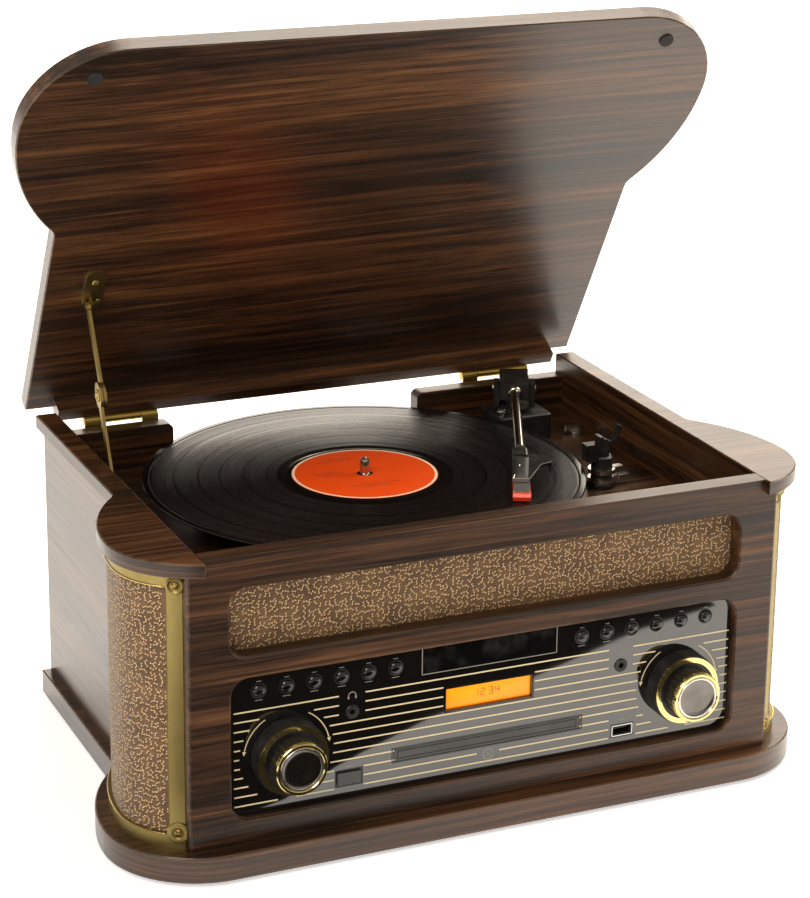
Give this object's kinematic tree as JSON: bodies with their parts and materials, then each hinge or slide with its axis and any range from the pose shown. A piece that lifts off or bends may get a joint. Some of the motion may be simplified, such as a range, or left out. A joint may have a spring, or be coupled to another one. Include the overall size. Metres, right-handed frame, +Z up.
{
  "type": "retro record player",
  "caption": "Tabletop retro record player: wood-film cabinet with rounded ears, open hinged lid on a folding stay, tonearm and turntable, cloth grilles, knobs and disc drawer.",
  "frame": {"origin": "under the middle of the open player, on the surface it stands on", "axes": "+X to the player's right as seen from its front, -Y to its front, +Z up"},
  "size_m": [0.494, 0.352, 0.4959],
  "materials": {
    "black_plastic": "fine satin",
    "bright_chrome": "polished",
    "dark_wood_film": "satin walnut-grain film",
    "black_gloss": "high gloss",
    "silver_plastic": "satin silver",
    "gold_trim": "satin",
    "deck_film": "dark wood-grain",
    "display_amber": "backlit",
    "rubber": "matt",
    "fibreboard": "plain board",
    "grille_cloth": "woven bronze and tan",
    "cast_platter": "turned",
    "record_vinyl": "grooved",
    "stylus_red": "gloss"
  },
  "bodies": {
    "cabinet": {"base_plate": "dark_wood_film", "feet": "rubber", "side_panels": "dark_wood_film", "rim_boards": "dark_wood_film", "rear_wall": "dark_wood_film", "rear_sockets": "black_plastic", "front_panel": "dark_wood_film", "deck_plate": "deck_film", "column_bezel_left": "gold_trim", "column_bezel_right": "gold_trim", "grille_cloths": "grille_cloth", "grille_baffle": "fibreboard", "column_speakers": "black_plastic", "fascia": "black_gloss", "display": "display_amber", "front_sockets": "silver_plastic", "disc_loader": "black_plastic", "arm_base": "black_plastic", "arm_post": "black_plastic", "hinge_leaves_cabinet": "gold_trim", "stay_foot": "gold_trim"},
    "lid": {"lid_board": "dark_wood_film", "lid_batten": "dark_wood_film", "lid_bumpers": "rubber", "hinge_leaves_lid": "gold_trim", "stay_bracket": "gold_trim"},
    "stay_upper": {"stay_upper": "gold_trim"},
    "stay_lower": {"stay_lower": "gold_trim"},
    "turntable": {"platter": "cast_platter", "mat": "rubber", "record": "record_vinyl"},
    "arm_swing": {"arm_turret": "black_plastic"},
    "arm": {"arm_counterweight": "black_plastic", "arm_tube": "bright_chrome", "headshell": "black_plastic", "cartridge": "silver_plastic", "stylus": "stylus_red"},
    "arm_clip": {"arm_clip": "black_plastic"},
    "cue_lever": {"cue_lever": "bright_chrome"},
    "lock_lever": {"lock_lever": "bright_chrome"},
    "speed_lever": {"speed_lever": "bright_chrome"},
    "auto_stop_switch": {"auto_stop_switch": "bright_chrome"},
    "volume": {"volume_knob": "black_plastic", "volume_rings": "gold_trim"},
    "tuning": {"tuning_knob": "black_plastic", "tuning_rings": "gold_trim"},
    "power_button": {"power_button": "black_gloss"},
    "disc_tray": {"disc_tray": "black_gloss"},
    "button_01": {"button_01": "black_gloss"},
    "button_02": {"button_02": "black_gloss"},
    "button_03": {"button_03": "black_gloss"},
    "button_04": {"button_04": "black_gloss"},
    "button_05": {"button_05": "black_gloss"},
    "button_06": {"button_06": "black_gloss"},
    "button_07": {"button_07": "black_gloss"},
    "button_08": {"button_08": "black_gloss"},
    "button_09": {"button_09": "black_gloss"},
    "button_10": {"button_10": "black_gloss"},
    "button_11": {"button_11": "black_gloss"},
    "button_12": {"button_12": "black_gloss"}
  },
  "joints": [
    {"name": "lid_hinge", "type": "hinge", "parent": "cabinet", "child": "lid", "pos_m": [0, 0.1572, 0.2], "axis": [1, 0, 0], "range_deg": [0, 60]},
    {"name": "stay_upper_pivot", "type": "hinge", "parent": "lid", "child": "stay_upper", "pos_m": [-0.183, 0.10885, 0.29714], "axis": [1, 0, 0], "range_deg": [-118.3, 0]},
    {"name": "stay_lower_pivot", "type": "hinge", "parent": "cabinet", "child": "stay_lower", "pos_m": [-0.185, 0.0509, 0.184], "axis": [1, 0, 0], "range_deg": [0, 98.9]},
    {"name": "platter_spin", "type": "hinge", "parent": "cabinet", "child": "turntable", "pos_m": [-0.019, 0.0132, 0.18], "axis": [0, 0, -1], "continuous": true},
    {"name": "arm_swing", "type": "hinge", "parent": "cabinet", "child": "arm_swing", "pos_m": [0.139, 0.1072, 0.19], "axis": [0, 0, 1], "range_deg": [-18.5, 24.3]},
    {"name": "arm_lift", "type": "hinge", "parent": "arm_swing", "child": "arm", "pos_m": [0.139, 0.1072, 0.203], "axis": [0.9114, -0.4115, 0], "range_deg": [-8, 0]},
    {"name": "arm_clip_pivot", "type": "hinge", "parent": "cabinet", "child": "arm_clip", "pos_m": [0.1476, -0.0168, 0.2006], "axis": [0, -1, 0], "range_deg": [0, 115]},
    {"name": "cue_lever_pivot", "type": "hinge", "parent": "cabinet", "child": "cue_lever", "pos_m": [0.147, -0.0168, 0.1725], "axis": [0, 0, 1], "range_deg": [-60, 0]},
    {"name": "lock_lever_pivot", "type": "hinge", "parent": "cabinet", "child": "lock_lever", "pos_m": [0.147, -0.0168, 0.179], "axis": [0, 0, 1], "range_deg": [0, 60]},
    {"name": "speed_lever_pivot", "type": "hinge", "parent": "cabinet", "child": "speed_lever", "pos_m": [0.184, 0.0942, 0.168], "axis": [0, 0, 1], "range_deg": [-20, 20]},
    {"name": "auto_stop_pivot", "type": "hinge", "parent": "cabinet", "child": "auto_stop_switch", "pos_m": [0.181, 0.0392, 0.168], "axis": [0, 0, 1], "range_deg": [-20, 20]},
    {"name": "volume_turn", "type": "hinge", "parent": "cabinet", "child": "volume", "pos_m": [-0.1387, -0.1553, 0.0733], "axis": [0, 1, 0], "range_deg": [-150, 150]},
    {"name": "tuning_turn", "type": "hinge", "parent": "cabinet", "child": "tuning", "pos_m": [0.1387, -0.1553, 0.0733], "axis": [0, 1, 0], "continuous": true},
    {"name": "power_press", "type": "slide", "parent": "cabinet", "child": "power_button", "axis": [0, 1, 0], "range_m": [0, 0.001], "stiffness_N_per_m": 400, "springref_m": -0.002},
    {"name": "disc_tray_slide", "type": "slide", "parent": "cabinet", "child": "disc_tray", "axis": [0, -1, 0], "range_m": [0, 0.135]},
    {"name": "button_01_press", "type": "slide", "parent": "cabinet", "child": "button_01", "axis": [0, 1, 0], "range_m": [0, 0.001], "stiffness_N_per_m": 400, "springref_m": -0.002},
    {"name": "button_02_press", "type": "slide", "parent": "cabinet", "child": "button_02", "axis": [0, 1, 0], "range_m": [0, 0.001], "stiffness_N_per_m": 400, "springref_m": -0.002},
    {"name": "button_03_press", "type": "slide", "parent": "cabinet", "child": "button_03", "axis": [0, 1, 0], "range_m": [0, 0.001], "stiffness_N_per_m": 400, "springref_m": -0.002},
    {"name": "button_04_press", "type": "slide", "parent": "cabinet", "child": "button_04", "axis": [0, 1, 0], "range_m": [0, 0.001], "stiffness_N_per_m": 400, "springref_m": -0.002},
    {"name": "button_05_press", "type": "slide", "parent": "cabinet", "child": "button_05", "axis": [0, 1, 0], "range_m": [0, 0.001], "stiffness_N_per_m": 400, "springref_m": -0.002},
    {"name": "button_06_press", "type": "slide", "parent": "cabinet", "child": "button_06", "axis": [0, 1, 0], "range_m": [0, 0.001], "stiffness_N_per_m": 400, "springref_m": -0.002},
    {"name": "button_07_press", "type": "slide", "parent": "cabinet", "child": "button_07", "axis": [0, 1, 0], "range_m": [0, 0.001], "stiffness_N_per_m": 400, "springref_m": -0.002},
    {"name": "button_08_press", "type": "slide", "parent": "cabinet", "child": "button_08", "axis": [0, 1, 0], "range_m": [0, 0.001], "stiffness_N_per_m": 400, "springref_m": -0.002},
    {"name": "button_09_press", "type": "slide", "parent": "cabinet", "child": "button_09", "axis": [0, 1, 0], "range_m": [0, 0.001], "stiffness_N_per_m": 400, "springref_m": -0.002},
    {"name": "button_10_press", "type": "slide", "parent": "cabinet", "child": "button_10", "axis": [0, 1, 0], "range_m": [0, 0.001], "stiffness_N_per_m": 400, "springref_m": -0.002},
    {"name": "button_11_press", "type": "slide", "parent": "cabinet", "child": "button_11", "axis": [0, 1, 0], "range_m": [0, 0.001], "stiffness_N_per_m": 400, "springref_m": -0.002},
    {"name": "button_12_press", "type": "slide", "parent": "cabinet", "child": "button_12", "axis": [0, 1, 0], "range_m": [0, 0.001], "stiffness_N_per_m": 400, "springref_m": -0.002}
  ],
  "couplings": [
    {"joint": "stay_upper_pivot", "follows": "lid_hinge", "ratio": -1.9706},
    {"joint": "stay_lower_pivot", "follows": "lid_hinge", "ratio": 1.6466}
  ]
}
